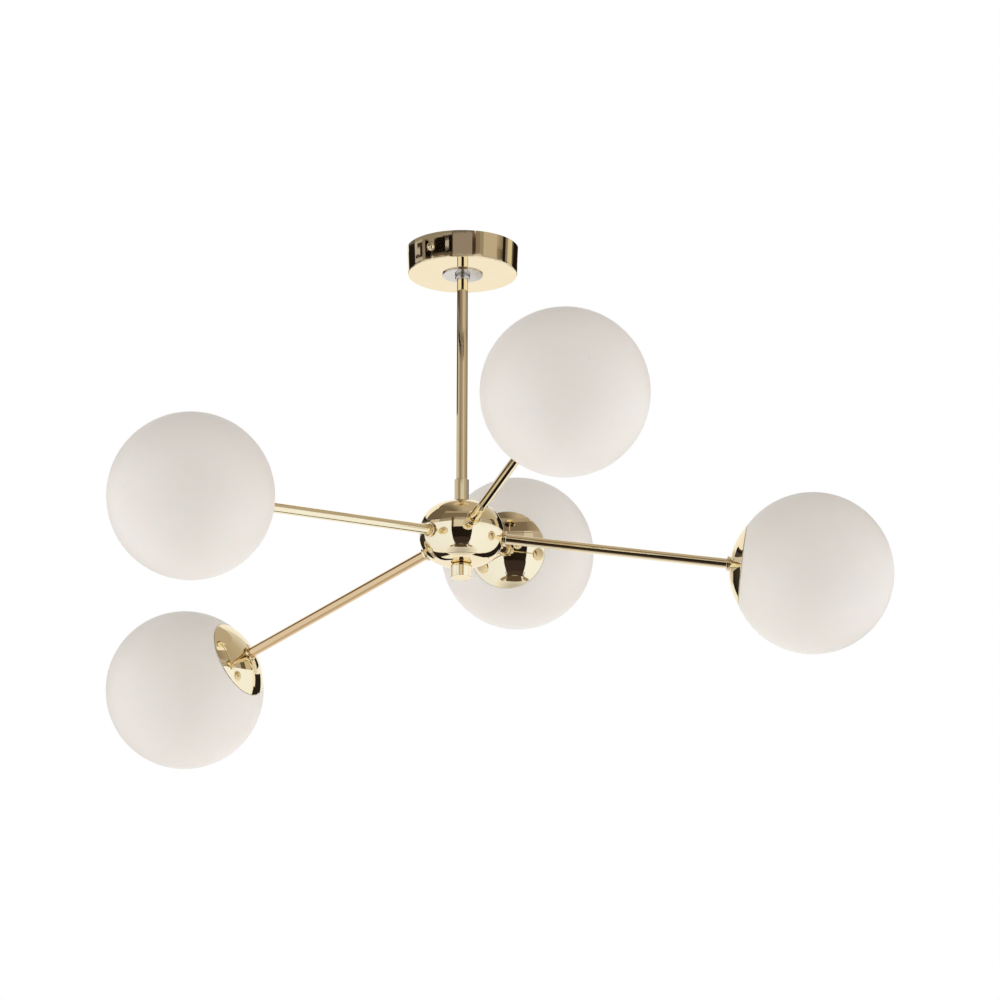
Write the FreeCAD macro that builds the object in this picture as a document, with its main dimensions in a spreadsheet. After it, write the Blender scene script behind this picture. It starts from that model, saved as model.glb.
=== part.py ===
import FreeCAD, Part
import math
import os
import re

import Sketcher

# Ceiling light with opal glass globes on straight arms that radiate from one hub.
# Millimetres, +Z up. The origin is the centre of the face that lies on the ceiling.
# The camera side of the light is -Y and its right-hand side is +X.
# The pieces of an arm are drawn in the arm's own frame: its origin is the centre of the
# hub, and its Z axis runs outwards along the tube to the centre of the globe.

doc = FreeCAD.newDocument("ceiling_light")
sheet = doc.addObject("Spreadsheet::Sheet", "Sizes")

SIZES = [
    # canopy and what fixes it to the ceiling
    ("canopy_dia", "102"),
    ("canopy_draft", "1"),
    ("canopy_depth", "25"),
    ("canopy_wall", "1.2"),
    ("canopy_edge", "0.8"),
    ("plate_gap", "5.8"),
    ("plate_thick", "2"),
    ("cable_hole_dia", "16"),
    ("slot_spacing", "60"),
    ("slot_length", "12"),
    ("slot_width", "4.5"),
    ("tab_width", "14"),
    ("tab_drop", "18"),
    ("tab_gap", "3.3"),
    ("side_screw_azimuth", "55.7"),
    ("side_screw_dia", "4"),
    ("side_screw_length", "8"),
    ("side_head_dia", "7.5"),
    ("side_head_height", "3.2"),
    # stem and the nuts on it
    ("stem_dia", "10"),
    ("stem_bore", "8"),
    ("stem_end", "8"),
    ("washer_dia", "37"),
    ("washer_thick", "1.2"),
    ("ring_nut_dia", "13.9"),
    ("ring_nut_height", "3.5"),
    ("hex_nut_width", "14"),
    ("hex_nut_height", "4"),
    ("sleeve_dia", "13"),
    ("sleeve_length", "23"),
    ("sleeve_grip", "11"),
    # hub
    ("hub_drop", "247.7"),
    ("hub_dia", "76.5"),
    ("hub_height", "56.5"),
    ("hub_band", "3"),
    ("hub_wall", "2"),
    ("seam_angle", "31.6"),
    ("cover_lip", "2.5"),
    ("cover_lip_wall", "1.2"),
    ("seam_gap", "0.2"),
    ("spindle_bore", "7"),
    ("spindle_grip", "8.5"),
    ("window_width", "5"),
    ("window_height", "11"),
    ("finial_dia", "19.2"),
    ("finial_length", "12.5"),
    ("finial_shoulder", "2.6"),
    ("finial_chamfer", "0.5"),
    ("junction_dia", "28"),
    ("junction_bore", "12"),
    ("junction_height", "16"),
    # arms
    ("arm_reach", "318"),
    ("arm_tube_dia", "9"),
    ("arm_tube_bore", "7"),
    ("arm_tube_insert", "11"),
    ("arm_ring_dia", "13.5"),
    ("arm_ring_thick", "2.2"),
    ("arm_nut_width", "13"),
    ("arm_nut_height", "3.5"),
    ("arm_1_azimuth", "357.5"),
    ("arm_1_rise_angle", "-7.2"),
    ("arm_2_azimuth", "80.4"),
    ("arm_2_rise_angle", "13.4"),
    ("arm_3_azimuth", "148.1"),
    ("arm_3_rise_angle", "-18.8"),
    ("arm_4_azimuth", "222.9"),
    ("arm_4_rise_angle", "-5.7"),
    ("arm_5_azimuth", "286.5"),
    ("arm_5_rise_angle", "6.2"),
    # dome cap and glass globe
    ("globe_dia", "145.5"),
    ("glass_wall", "2.6"),
    ("neck_dia", "48"),
    ("neck_wall", "3"),
    ("neck_height", "6"),
    ("cap_rim_dia", "73.6"),
    ("cap_height", "12.4"),
    ("cap_wall", "1"),
    ("collar_wall", "3"),
    ("gasket_dia", "60"),
    ("gasket_thick", "1.2"),
    # lampholder and lamp
    ("holder_dia", "21"),
    ("holder_wall", "1"),
    ("holder_length", "20"),
    ("holder_boss_dia", "13"),
    ("holder_boss", "1.5"),
    ("holder_wiring_space", "5"),
    ("ceramic_proud", "1.5"),
    ("pin_spacing", "9"),
    ("pin_width", "2.6"),
    ("pin_thick", "1"),
    ("pin_length", "10"),
    ("lamp_dia", "16"),
    ("lamp_base_dia", "14"),
    ("lamp_base_length", "9"),
    ("lamp_length", "50"),
    # wiring
    ("lead_dia", "1.8"),
    ("arm_lead_dia", "1.6"),
    ("lead_spacing", "3"),
    ("block_length", "26"),
    ("block_width", "15"),
    ("block_height", "12"),
    ("block_offset", "27"),
    ("pole_spacing", "8"),
    ("pole_bore", "3.2"),
    ("earth_offset", "24"),
    ("earth_screw_dia", "4"),
    ("earth_head_dia", "8"),
    ("earth_head_height", "2.5"),
    ("earth_washer_dia", "9"),
    ("earth_washer_thick", "1"),
    # clearances
    ("thread_gap", "0.1"),
    ("neck_play", "0.4"),
    ("seat_gap", "0.2"),
    ("pin_play", "0.4"),
    ("hole_play", "0.3"),
    ("cut_overrun", "5"),
]

for row, (alias, number) in enumerate(SIZES, start=1):
    sheet.set(f"A{row}", alias)
    sheet.set(f"B{row}", number)
    sheet.setAlias(f"B{row}", alias)
doc.recompute()

ARMS = (1, 2, 3, 4, 5)
PARTS = []


def bound(text):
    """The text as an expression on the cells of the sheet: every size name holds an underscore."""
    return re.sub(r"\b([a-z]+_[a-z0-9_]+)\b", r"Sizes.\1", text)


def value(text):
    """The number that an expression gives for the sizes as they are."""
    return float(sheet.evalExpression(bound(text)))


def keep(piece, label):
    """Give a finished piece the name of its file."""
    piece.Label = label
    PARTS.append(piece)
    return piece


def place(piece, across, back, height):
    """Set a piece's origin at a point that follows the sizes."""
    for axis, text in (("x", across), ("y", back), ("z", height)):
        if text != "0":
            piece.setExpression(f"Placement.Base.{axis}", bound(text))
    return piece


def drop(piece, height):
    """Set a piece's origin at a height on the axis of the stem."""
    return place(piece, "0", "0", height)


def sideways(piece, azimuth, height):
    """Lay a piece's Z axis level, at an azimuth, from a height on the axis of the stem."""
    turn = FreeCAD.Rotation(FreeCAD.Vector(0, 0, 1), azimuth)
    piece.Placement.Rotation = turn * FreeCAD.Rotation(FreeCAD.Vector(0, 1, 0), 90)
    return drop(piece, height)


def turned(name, profile):
    """Revolve a closed profile of (radius, height) corners about Z.
    A third entry makes the edge that arrives at the corner an arc: it is the distance of the
    arc's centre from the axis."""
    body = doc.addObject("PartDesign::Body", name)
    plane = [item for item in body.Origin.OriginFeatures if item.Role == "XZ_Plane"][0]
    sketch = body.newObject("Sketcher::SketchObject", name + "_profile")
    sketch.AttachmentSupport = (plane, [""])
    sketch.MapMode = "FlatFace"
    corners = [FreeCAD.Vector(value(corner[0]), value(corner[1]), 0) for corner in profile]
    starts = []
    count = len(profile)
    for index in range(count):
        arrival = profile[(index + 1) % count]
        start, end = corners[index], corners[(index + 1) % count]
        if len(arrival) < 3:
            sketch.addGeometry(Part.LineSegment(start, end), False)
            starts.append((1, 2))
            continue
        offset = value(arrival[2])
        height = (((end.x - offset) ** 2 - (start.x - offset) ** 2 + end.y ** 2 - start.y ** 2)
                  / (2 * (end.y - start.y)))
        centre = FreeCAD.Vector(offset, height, 0)
        first = math.atan2(start.y - height, start.x - offset)
        last = math.atan2(end.y - height, end.x - offset)
        forward = (last - first) % (2 * math.pi) < math.pi
        if not forward:
            first, last = last, first
        circle = Part.Circle(centre, FreeCAD.Vector(0, 0, 1), (start - centre).Length)
        sketch.addGeometry(Part.ArcOfCircle(circle, first, last), False)
        starts.append((1, 2) if forward else (2, 1))
    for index in range(count):
        following = (index + 1) % count
        sketch.addConstraint(Sketcher.Constraint(
            "Coincident", index, starts[index][1], following, starts[following][0]))
    for index, corner in enumerate(profile):
        pin_point(sketch, index, starts[index][0], corner[0], corner[1])
        arrival = profile[(index + 1) % count]
        if len(arrival) > 2:
            pin_across(sketch, index, 3, arrival[2])
    revolution = body.newObject("PartDesign::Revolution", name + "_turned")
    revolution.Profile = sketch
    revolution.ReferenceAxis = (sketch, ["V_Axis"])
    revolution.Angle = 360
    sketch.Visibility = False
    return body


def pin_across(sketch, edge, point, radius):
    """Hold a point of a profile at a distance from the axis."""
    if radius == "0":
        sketch.addConstraint(Sketcher.Constraint("PointOnObject", edge, point, -2))
        return
    index = sketch.addConstraint(
        Sketcher.Constraint("DistanceX", -1, 1, edge, point, value(radius)))
    sketch.setExpression(f"Constraints[{index}]", bound(radius))


def pin_point(sketch, edge, point, radius, height):
    """Hold a point of a profile at a radius and a height."""
    pin_across(sketch, edge, point, radius)
    if height == "0":
        sketch.addConstraint(Sketcher.Constraint("PointOnObject", edge, point, -1))
        return
    index = sketch.addConstraint(
        Sketcher.Constraint("DistanceY", -1, 1, edge, point, value(height)))
    sketch.setExpression(f"Constraints[{index}]", bound(height))


def ring(name, inner, outer, low, high):
    """A tube, washer or ring between two radii and two heights."""
    return turned(name, [(inner, low), (outer, low), (outer, high), (inner, high)])


def block(name, length, width, height, centre_x="0", centre_y="0", base="0"):
    """A box centred on a point in X and Y, standing on a height."""
    box = doc.addObject("Part::Box", name)
    box.setExpression("Length", bound(length))
    box.setExpression("Width", bound(width))
    box.setExpression("Height", bound(height))
    place(box, f"{centre_x} - ({length}) / 2", f"{centre_y} - ({width}) / 2", base)
    return box


def rod(name, radius, height, centre_x="0", centre_y="0", base="0"):
    """An upright cylinder standing on a height."""
    cylinder = doc.addObject("Part::Cylinder", name)
    cylinder.setExpression("Radius", bound(radius))
    cylinder.setExpression("Height", bound(height))
    place(cylinder, centre_x, centre_y, base)
    return cylinder


def hex_nut(name, width, bore, height, base):
    """A hexagon nut with a plain bore, standing on a height."""
    prism = doc.addObject("Part::Prism", name + "_blank")
    prism.Polygon = 6
    prism.setExpression("Circumradius", bound(f"({width}) / sqrt(3)"))
    prism.setExpression("Height", bound(height))
    prism.setExpression("Placement.Base.z", bound(base))
    hole = rod(name + "_bore", bore, f"{height} + 2 * cut_overrun", base=f"{base} - cut_overrun")
    return cut(name, prism, hole)


def cut(name, base, tool):
    """Cut one object away from another."""
    result = doc.addObject("Part::Cut", name)
    result.Base = base
    result.Tool = tool
    return result


def joined(name, pieces):
    """Join overlapping objects into one solid."""
    result = doc.addObject("Part::MultiFuse", name)
    result.Shapes = pieces
    return result


def group(name, pieces):
    """Several separate solids in one object."""
    result = doc.addObject("Part::Compound", name)
    result.Links = pieces
    return result


def route(points, radius_share):
    """A wire of straight runs joined by tangent arcs through a list of points."""
    share = value(radius_share)
    edges = []
    here = points[0]
    for index in range(1, len(points) - 1):
        before = points[index] - points[index - 1]
        after = points[index + 1] - points[index]
        turn = before.getAngle(after)
        reach = share * min(before.Length, after.Length)
        first = points[index] - FreeCAD.Vector(before).normalize() * reach
        last = points[index] + FreeCAD.Vector(after).normalize() * reach
        radius = reach / math.tan(turn / 2)
        inward = (FreeCAD.Vector(after).normalize() - FreeCAD.Vector(before).normalize()).normalize()
        centre = points[index] + inward * math.hypot(radius, reach)
        middle = centre - inward * radius
        edges.append(Part.LineSegment(here, first).toShape())
        edges.append(Part.Arc(first, middle, last).toShape())
        here = last
    edges.append(Part.LineSegment(here, points[-1]).toShape())
    return Part.Wire(edges)


def lead(name, points, dia):
    """An insulated wire along a route."""
    path = route(points, bend_share)
    start = path.Edges[0]
    along = start.tangentAt(start.FirstParameter)
    section = Part.Wire(Part.Circle(points[0], along, value(dia) / 2).toShape())
    piece = doc.addObject("Part::Feature", name)
    piece.Shape = path.makePipeShell([section], True, False)
    return piece


bend_share = "0.45"

# Heights and radii that several pieces share
HUB_Z = "(-(canopy_depth + hub_drop))"
HUB_TOP = "(hub_height / 2)"
FLOOR_TOP = "(canopy_wall - canopy_depth)"
PLATE_UNDER = "(-plate_thick)"
MID_WALL = "(-canopy_depth / 2)"
STEM_FIT = "(stem_dia / 2 + thread_gap)"
STEM_TOP = f"({FLOOR_TOP} + stem_end)"
GLOBE_RADIUS = "(globe_dia / 2)"
RIM_RADIUS = "(cap_rim_dia / 2)"
SHOULDER = f"(arm_reach - sqrt({GLOBE_RADIUS} ^ 2 - {RIM_RADIUS} ^ 2))"
RIM = f"({SHOULDER} - seat_gap)"
APEX = f"({RIM} - cap_height)"
CAP_RADIUS = f"(({RIM_RADIUS} ^ 2 + cap_height ^ 2) / (2 * cap_height))"
CAP_CENTRE = f"({APEX} + {CAP_RADIUS})"
CAP_INNER_RADIUS = f"({CAP_RADIUS} - cap_wall)"
TUBE_FIT = "(arm_tube_dia / 2 + thread_gap)"
HOLDER_BACK = f"({APEX} + cap_wall + 2.5 * seat_gap)"
CUP_BACK = f"({HOLDER_BACK} + holder_boss)"
CUP_FRONT = f"({CUP_BACK} + holder_length)"
CERAMIC_BACK = f"({CUP_BACK} + holder_wall + holder_wiring_space)"
CERAMIC_FACE = f"({CUP_FRONT} + ceramic_proud)"


def dome_outside(radius):
    """Where the outer face of the dome cap lies at a radius, along the arm."""
    return f"({CAP_CENTRE} - sqrt({CAP_RADIUS} ^ 2 - ({radius}) ^ 2))"


def dome_inside(radius):
    """Where the inner face of the dome cap lies at a radius, along the arm."""
    return f"({CAP_CENTRE} - sqrt({CAP_INNER_RADIUS} ^ 2 - ({radius}) ^ 2))"


def along_arm(piece, arm):
    """Set a piece that is drawn in the arm's frame at its arm."""
    turn = FreeCAD.Rotation(FreeCAD.Vector(0, 0, 1), value(f"arm_{arm}_azimuth"))
    tilt = FreeCAD.Rotation(FreeCAD.Vector(0, 1, 0), 90 - value(f"arm_{arm}_rise_angle"))
    piece.Placement = FreeCAD.Placement(FreeCAD.Vector(0, 0, value(HUB_Z)), turn * tilt)
    return piece


# Ceiling plate: a round pressed plate with two slots for the ceiling screws, a hole for the
# supply cable, and two tabs bent down that take the side screws of the canopy
SIDES = (value("side_screw_azimuth"), value("side_screw_azimuth") + 180)
PLATE_RADIUS = "(canopy_dia / 2 - canopy_wall - plate_gap)"
TAB_REACH = "(canopy_dia / 2 - canopy_draft / 2 - canopy_wall - tab_gap)"
plate_disc = rod("plate_disc", PLATE_RADIUS, "plate_thick", base=PLATE_UNDER)
tabs = []
for index, azimuth in enumerate(SIDES):
    shelf = block(f"tab_{index}_shelf", f"{TAB_REACH} / 2", "tab_width", "plate_thick",
                  f"{TAB_REACH} * 3 / 4", base=PLATE_UNDER)
    flap = block(f"tab_{index}_flap", "plate_thick", "tab_width", "tab_drop",
                 f"{TAB_REACH} - plate_thick / 2", base="-tab_drop")
    tab = joined(f"tab_{index}", [shelf, flap])
    tab.Placement.Rotation = FreeCAD.Rotation(FreeCAD.Vector(0, 0, 1), azimuth)
    tabs.append(tab)
pressed = joined("pressed_plate", [plate_disc] + tabs)
openings = [rod("cable_hole", "cable_hole_dia / 2", "plate_thick + 2 * cut_overrun",
                base=f"{PLATE_UNDER} - cut_overrun")]
for side, sign in (("left", "-"), ("right", "")):
    for end, shift in (("near", "-"), ("far", "+")):
        openings.append(rod(
            f"slot_{side}_{end}", "slot_width / 2", "plate_thick + 2 * cut_overrun",
            f"{sign}slot_spacing / 2 {shift} (slot_length - slot_width) / 2",
            base=f"{PLATE_UNDER} - cut_overrun"))
    openings.append(block(
        f"slot_{side}_middle", "slot_length - slot_width", "slot_width",
        "plate_thick + 2 * cut_overrun", f"{sign}slot_spacing / 2", base=f"{PLATE_UNDER} - cut_overrun"))
openings.append(rod("earth_hole", "earth_screw_dia / 2 + thread_gap",
                    "plate_thick + 2 * cut_overrun", "earth_offset", "-earth_offset",
                    base=f"{PLATE_UNDER} - cut_overrun"))
for index, azimuth in enumerate(SIDES):
    hole = rod(f"tab_{index}_hole", "side_screw_dia / 2 + thread_gap", f"{TAB_REACH} + cut_overrun")
    openings.append(sideways(hole, azimuth, MID_WALL))
keep(cut("ceiling_plate_cut", pressed, joined("plate_openings", openings)), "ceiling_plate")

# Canopy: a spun brass cup with a slight draft, a hole for the stem and two for the side screws
FACE_RADIUS = "(canopy_dia / 2 - canopy_draft)"
canopy_cup = turned("canopy_cup", [
    (STEM_FIT, "-canopy_depth"),
    (f"{FACE_RADIUS} - canopy_edge", "-canopy_depth"),
    (FACE_RADIUS, "canopy_edge - canopy_depth", f"{FACE_RADIUS} - canopy_edge"),
    ("canopy_dia / 2", "0"),
    ("canopy_dia / 2 - canopy_wall", "0"),
    (f"{FACE_RADIUS} - canopy_wall", FLOOR_TOP),
    (STEM_FIT, FLOOR_TOP),
])
side_holes = []
for index, azimuth in enumerate(SIDES):
    hole = rod(f"canopy_hole_{index}", "side_screw_dia / 2 + hole_play",
               "canopy_dia / 2 + cut_overrun")
    side_holes.append(sideways(hole, azimuth, MID_WALL))
keep(cut("canopy_cut", canopy_cup, joined("canopy_holes", side_holes)), "canopy")

# Side screws: dome heads on the canopy wall, shanks through it into the tabs
HEAD_SEAT = "(canopy_dia / 2 - canopy_draft / 2 + seat_gap)"
SHANK_RADIUS = "side_screw_dia / 2"
side_screws = []
for index, azimuth in enumerate(SIDES):
    screw = turned(f"side_screw_{index}", [
        ("0", f"{HEAD_SEAT} - side_screw_length"),
        (SHANK_RADIUS, f"{HEAD_SEAT} - side_screw_length"),
        (SHANK_RADIUS, HEAD_SEAT),
        ("side_head_dia / 2", HEAD_SEAT),
        ("0", f"{HEAD_SEAT} + side_head_height", "0"),
    ])
    side_screws.append(sideways(screw, azimuth, MID_WALL))
keep(group("side_screw_pair", side_screws), "canopy_side_screws")

# Washer, ring nut and hexagon nut that clamp the canopy's floor on the stem
WASHER_UNDER = "(-canopy_depth - washer_thick)"
keep(ring("washer", STEM_FIT, "washer_dia / 2", WASHER_UNDER, "-canopy_depth"),
     "canopy_washer")
keep(ring("top_ring_nut", STEM_FIT, "ring_nut_dia / 2",
          f"{WASHER_UNDER} - ring_nut_height", WASHER_UNDER), "stem_ring_nut")
keep(hex_nut("top_hex_nut", "hex_nut_width", STEM_FIT, "hex_nut_height", FLOOR_TOP),
     "stem_lock_nut")

# Stem: a tube from inside the canopy down into the coupling sleeve
SLEEVE_TOP = f"({HUB_Z} + {HUB_TOP} + sleeve_length)"
keep(ring("stem", "stem_bore / 2", "stem_dia / 2", f"{SLEEVE_TOP} - sleeve_grip", STEM_TOP),
     "stem_tube")

# Coupling sleeve: joins the stem to the spindle and stands on the hub
keep(ring("sleeve", STEM_FIT, "sleeve_dia / 2", f"{HUB_Z} + {HUB_TOP}", SLEEVE_TOP),
     "coupling_sleeve")

# Spindle: a hollow threaded rod through the hub, with a window on each side for the leads
SPINDLE_LOW = f"(-{HUB_TOP} - spindle_grip)"
WINDOW_LOW = "(junction_height / 2 + seat_gap)"
spindle_rod = ring("spindle_rod", "spindle_bore / 2", "stem_dia / 2", SPINDLE_LOW,
                   f"{HUB_TOP} + sleeve_grip")
window = block("spindle_window", "stem_dia + 2 * cut_overrun", "window_width", "window_height",
               base=WINDOW_LOW)
spindle = keep(cut("spindle_cut", spindle_rod, window), "hub_spindle")
drop(spindle, HUB_Z)

# Hub body: a hollow turned shell, flat at the top where the sleeve stands, open below
EDGE_RADIUS = "min((hub_height - hub_band) / 2; hub_dia / 2 - 0.6 * hex_nut_width)"
FLAT_RADIUS = f"(hub_dia / 2 - {EDGE_RADIUS})"
BAND = f"(hub_height / 2 - {EDGE_RADIUS})"
SHELL_RADIUS = f"({EDGE_RADIUS} - hub_wall)"
SEAM_RADIUS = f"({FLAT_RADIUS} + {EDGE_RADIUS} * sin(seam_angle))"
SEAM_Z = f"(-{BAND} - {EDGE_RADIUS} * cos(seam_angle))"
SEAM_INNER = f"({FLAT_RADIUS} + sqrt({SHELL_RADIUS} ^ 2 - ({SEAM_Z} + {BAND}) ^ 2))"
hub_shell = turned("hub_shell", [
    (STEM_FIT, HUB_TOP),
    (FLAT_RADIUS, HUB_TOP),
    ("hub_dia / 2", BAND, FLAT_RADIUS),
    ("hub_dia / 2", f"-{BAND}"),
    (SEAM_RADIUS, SEAM_Z, FLAT_RADIUS),
    (SEAM_INNER, SEAM_Z),
    ("hub_dia / 2 - hub_wall", f"-{BAND}", FLAT_RADIUS),
    ("hub_dia / 2 - hub_wall", BAND),
    (FLAT_RADIUS, f"{HUB_TOP} - hub_wall", FLAT_RADIUS),
    (STEM_FIT, f"{HUB_TOP} - hub_wall"),
])
drop(hub_shell, HUB_Z)
arm_holes = []
for arm in ARMS:
    hole = turned(f"arm_hole_{arm}", [
        ("0", "hub_dia / 4"),
        (TUBE_FIT, "hub_dia / 4"),
        (TUBE_FIT, "hub_dia / 2 + cut_overrun"),
        ("0", "hub_dia / 2 + cut_overrun"),
    ])
    arm_holes.append(along_arm(hole, arm))
keep(cut("hub_body_cut", hub_shell, joined("arm_holes", arm_holes)), "hub_body")

# Hub lock nut: clamps the hub body up against the sleeve
lock_nut = hex_nut("hub_hex_nut", "hex_nut_width", STEM_FIT, "hex_nut_height",
                   f"{HUB_TOP} - hub_wall - hex_nut_height")
keep(drop(lock_nut, HUB_Z), "hub_lock_nut")

# Hub cover: the dished bottom of the hub, with a lip that centres it in the hub body
COVER_EDGE_Z = f"({SEAM_Z} - seam_gap)"
COVER_EDGE = f"({FLAT_RADIUS} + sqrt({EDGE_RADIUS} ^ 2 - ({COVER_EDGE_Z} + {BAND}) ^ 2))"
LIP_RADIUS = f"({SEAM_INNER} - seam_gap)"
LIP_INNER = f"({LIP_RADIUS} - cover_lip_wall)"
COVER_INSIDE = f"(-{HUB_TOP} + hub_wall)"
cover = turned("cover", [
    (STEM_FIT, f"-{HUB_TOP}"),
    (FLAT_RADIUS, f"-{HUB_TOP}"),
    (COVER_EDGE, COVER_EDGE_Z, FLAT_RADIUS),
    (LIP_RADIUS, COVER_EDGE_Z),
    (LIP_RADIUS, f"{SEAM_Z} + cover_lip"),
    (LIP_INNER, f"{SEAM_Z} + cover_lip"),
    (LIP_INNER, COVER_INSIDE),
    (STEM_FIT, COVER_INSIDE),
])
keep(drop(cover, HUB_Z), "hub_cover")

# Finial: a turned nut with a round shoulder that clamps the cover, with a blind thread for the
# spindle
FINIAL_FOOT = f"(-{HUB_TOP} - finial_length)"
FINIAL_RADIUS = "finial_dia / 2"
finial = turned("finial_nut", [
    ("0", FINIAL_FOOT),
    (f"{FINIAL_RADIUS} - finial_chamfer", FINIAL_FOOT),
    (FINIAL_RADIUS, f"{FINIAL_FOOT} + finial_chamfer"),
    (FINIAL_RADIUS, f"-{HUB_TOP} - finial_shoulder"),
    (f"{FINIAL_RADIUS} - finial_shoulder", f"-{HUB_TOP}", f"{FINIAL_RADIUS} - finial_shoulder"),
    (STEM_FIT, f"-{HUB_TOP}"),
    (STEM_FIT, f"{SPINDLE_LOW} - seat_gap"),
    ("0", f"{SPINDLE_LOW} - seat_gap"),
])
keep(drop(finial, HUB_Z), "finial")

# Junction: a ring of insulated terminals round the spindle, where the arms' leads meet
junction = ring("junction", "junction_bore / 2", "junction_dia / 2", "-junction_height / 2",
                "junction_height / 2")
keep(drop(junction, HUB_Z), "hub_junction")

# Arm tubes, from the nut inside the hub to the lampholder's cup inside the dome cap
TUBE_START = "(hub_dia / 2 - arm_tube_insert)"
for arm in ARMS:
    tube = ring(f"arm_{arm}", "arm_tube_bore / 2", "arm_tube_dia / 2", TUBE_START,
                f"{CUP_BACK} + holder_wall")
    keep(along_arm(tube, arm), f"arm_tube_{arm}")


def meeting(arm, corner, edge):
    """How far along an arm the corner of a nut on it meets a round edge of the hub."""
    rise = f"abs(arm_{arm}_rise_angle)"
    across = f"({FLAT_RADIUS} + {corner} * sin({rise}))"
    down = f"({corner} * cos({rise}) - {BAND})"
    along = f"({across} * cos({rise}) - {down} * sin({rise}))"
    return f"({along} + sqrt({edge} ^ 2 - {across} ^ 2 - {down} ^ 2 + {along} ^ 2))"


# Ring nuts outside the hub and outside the caps, one at each end of every tube
ring_nuts = []
for arm in ARMS:
    hub_seat = f"(max(hub_dia / 2; {meeting(arm, '(arm_ring_dia / 2)', EDGE_RADIUS)}) + seat_gap)"
    for end, start in (("hub", hub_seat), ("cap", f"({APEX} - arm_ring_thick)")):
        nut = ring(f"arm_{arm}_{end}_nut", TUBE_FIT, "arm_ring_dia / 2", start,
                   f"{start} + arm_ring_thick")
        ring_nuts.append(along_arm(nut, arm))
keep(group("ring_nut_set", ring_nuts), "arm_ring_nuts")

# Hexagon nuts on the tubes inside the hub, as far out as their corners fit inside the shell
NUT_CORNER = "(arm_nut_width / sqrt(3))"
BAND_LIMIT = f"(sqrt((hub_dia / 2 - hub_wall) ^ 2 - {NUT_CORNER} ^ 2))"
inner_nuts = []
for arm in ARMS:
    nut_end = f"(min({meeting(arm, NUT_CORNER, SHELL_RADIUS)}; {BAND_LIMIT}) - seat_gap)"
    nut = hex_nut(f"arm_{arm}_hex_nut", "arm_nut_width", TUBE_FIT, "arm_nut_height",
                  f"{nut_end} - arm_nut_height")
    inner_nuts.append(along_arm(nut, arm))
keep(group("hex_nut_set", inner_nuts), "arm_hex_nuts")

# Dome caps: shallow spun domes that hold the globes
for arm in ARMS:
    cap = turned(f"cap_{arm}", [
        (TUBE_FIT, dome_outside(TUBE_FIT)),
        (RIM_RADIUS, RIM, "0"),
        (f"sqrt({CAP_INNER_RADIUS} ^ 2 - ({CAP_CENTRE} - {RIM}) ^ 2)", RIM),
        (TUBE_FIT, dome_inside(TUBE_FIT), "0"),
    ])
    keep(along_arm(cap, arm), f"dome_cap_{arm}")

# Shade collars: threaded rings brazed inside the caps, which take the necks of the globes
COLLAR_INNER = "(neck_dia / 2 + neck_play)"
COLLAR_OUTER = f"({COLLAR_INNER} + collar_wall)"
COLLAR_FOOT = f"({SHOULDER} - gasket_thick - 2 * seat_gap)"
for arm in ARMS:
    collar = turned(f"collar_{arm}", [
        (COLLAR_INNER, dome_inside(COLLAR_INNER)),
        (COLLAR_OUTER, dome_inside(COLLAR_OUTER)),
        (COLLAR_OUTER, COLLAR_FOOT),
        (COLLAR_INNER, COLLAR_FOOT),
    ])
    keep(along_arm(collar, arm), f"shade_collar_{arm}")

# Gaskets: silicone washers round the necks, between the glass and the collars
for arm in ARMS:
    gasket = ring(f"washer_{arm}", "neck_dia / 2 + seat_gap", "gasket_dia / 2",
                  f"{SHOULDER} - gasket_thick - seat_gap", f"{SHOULDER} - seat_gap")
    keep(along_arm(gasket, arm), f"gasket_{arm}")

# Globes: blown opal glass with a flat shoulder and a threaded neck under the cap
NECK_BORE = "(neck_dia / 2 - neck_wall)"
NECK_TOP = f"({SHOULDER} - neck_height)"
INNER_RADIUS = f"({GLOBE_RADIUS} - glass_wall)"
INNER_SHOULDER = f"({SHOULDER} + glass_wall)"
for arm in ARMS:
    globe = turned(f"glass_{arm}", [
        (NECK_BORE, NECK_TOP),
        ("neck_dia / 2", NECK_TOP),
        ("neck_dia / 2", SHOULDER),
        (RIM_RADIUS, SHOULDER),
        ("0", f"arm_reach + {GLOBE_RADIUS}", "0"),
        ("0", f"arm_reach + {INNER_RADIUS}"),
        (f"sqrt({INNER_RADIUS} ^ 2 - (arm_reach - {INNER_SHOULDER}) ^ 2)", INNER_SHOULDER, "0"),
        (NECK_BORE, INNER_SHOULDER),
    ])
    keep(along_arm(globe, arm), f"globe_{arm}")

# Holder cups: turned steel cups screwed on the ends of the tubes, which clamp the caps
CUP_RADIUS = "(holder_dia / 2)"
CUP_BORE = "(holder_dia / 2 - holder_wall)"
for arm in ARMS:
    cup = turned(f"cup_{arm}", [
        (TUBE_FIT, HOLDER_BACK),
        ("holder_boss_dia / 2", HOLDER_BACK),
        ("holder_boss_dia / 2", CUP_BACK),
        (CUP_RADIUS, CUP_BACK),
        (CUP_RADIUS, CUP_FRONT),
        (CUP_BORE, CUP_FRONT),
        (CUP_BORE, f"{CUP_BACK} + holder_wall"),
        (TUBE_FIT, f"{CUP_BACK} + holder_wall"),
    ])
    keep(along_arm(cup, arm), f"holder_cup_{arm}")

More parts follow.
